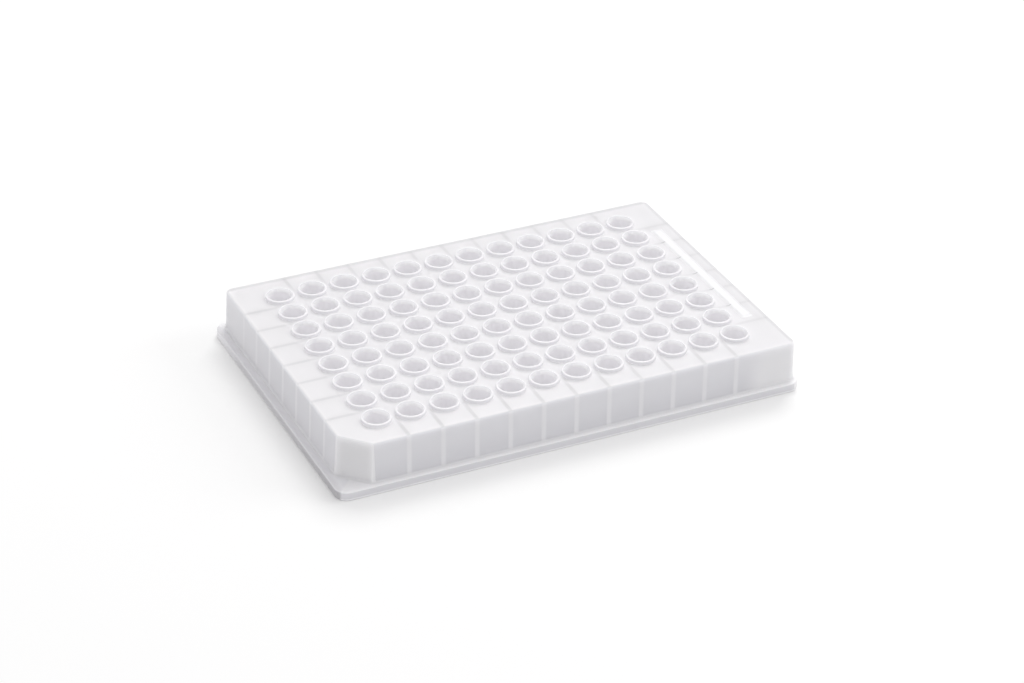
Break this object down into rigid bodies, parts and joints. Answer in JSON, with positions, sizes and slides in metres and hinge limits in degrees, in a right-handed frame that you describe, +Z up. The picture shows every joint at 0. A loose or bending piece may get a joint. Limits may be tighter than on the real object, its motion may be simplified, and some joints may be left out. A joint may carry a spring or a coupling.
{
  "type": "well plate",
  "caption": "Laboratory plate of round flat-bottomed wells in a regular array, on a stepped skirt with one cut corner.",
  "frame": {"origin": "centre of the footprint, on the level the plate stands on", "axes": "+X along the long sides, towards the marking bar, with the cut corner at -X and -Y; +Z up, out of the wells' mouths"},
  "size_m": [0.1278, 0.0854, 0.0143],
  "materials": {
    "polypropylene": "matte, milky and slightly translucent"
  },
  "bodies": {
    "root": {"well_plate": "polypropylene"}
  },
  "joints": []
}
